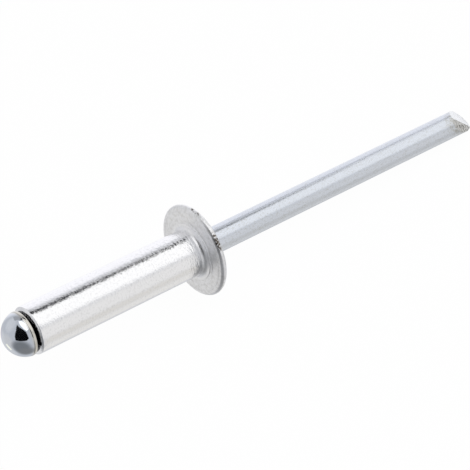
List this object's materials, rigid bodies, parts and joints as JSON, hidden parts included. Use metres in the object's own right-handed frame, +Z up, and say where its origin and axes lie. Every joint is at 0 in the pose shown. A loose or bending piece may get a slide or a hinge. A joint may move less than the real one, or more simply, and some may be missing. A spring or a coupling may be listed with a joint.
{
  "type": "blind rivet",
  "caption": "Dome-head aluminium blind rivet, unset, with a plated steel mandrel through its hollow shank; joins sheets from one side.",
  "frame": {"origin": "on the ground, below the middle of the rivet as it lies at rest on its flange rim and the sheared end of its stem", "axes": "+X along the ground from the mandrel's head towards the stem's free end, +Z up; the rivet's own axis dips 5.2 degrees below +X"},
  "size_m": [0.0494, 0.0078, 0.0079],
  "materials": {
    "satin_aluminium": "satin, with fine marks round the shank",
    "zinc_plated_steel": "bright bluish zinc plating"
  },
  "bodies": {
    "root": {"rivet_body": "satin_aluminium", "mandrel": "zinc_plated_steel"}
  },
  "joints": []
}
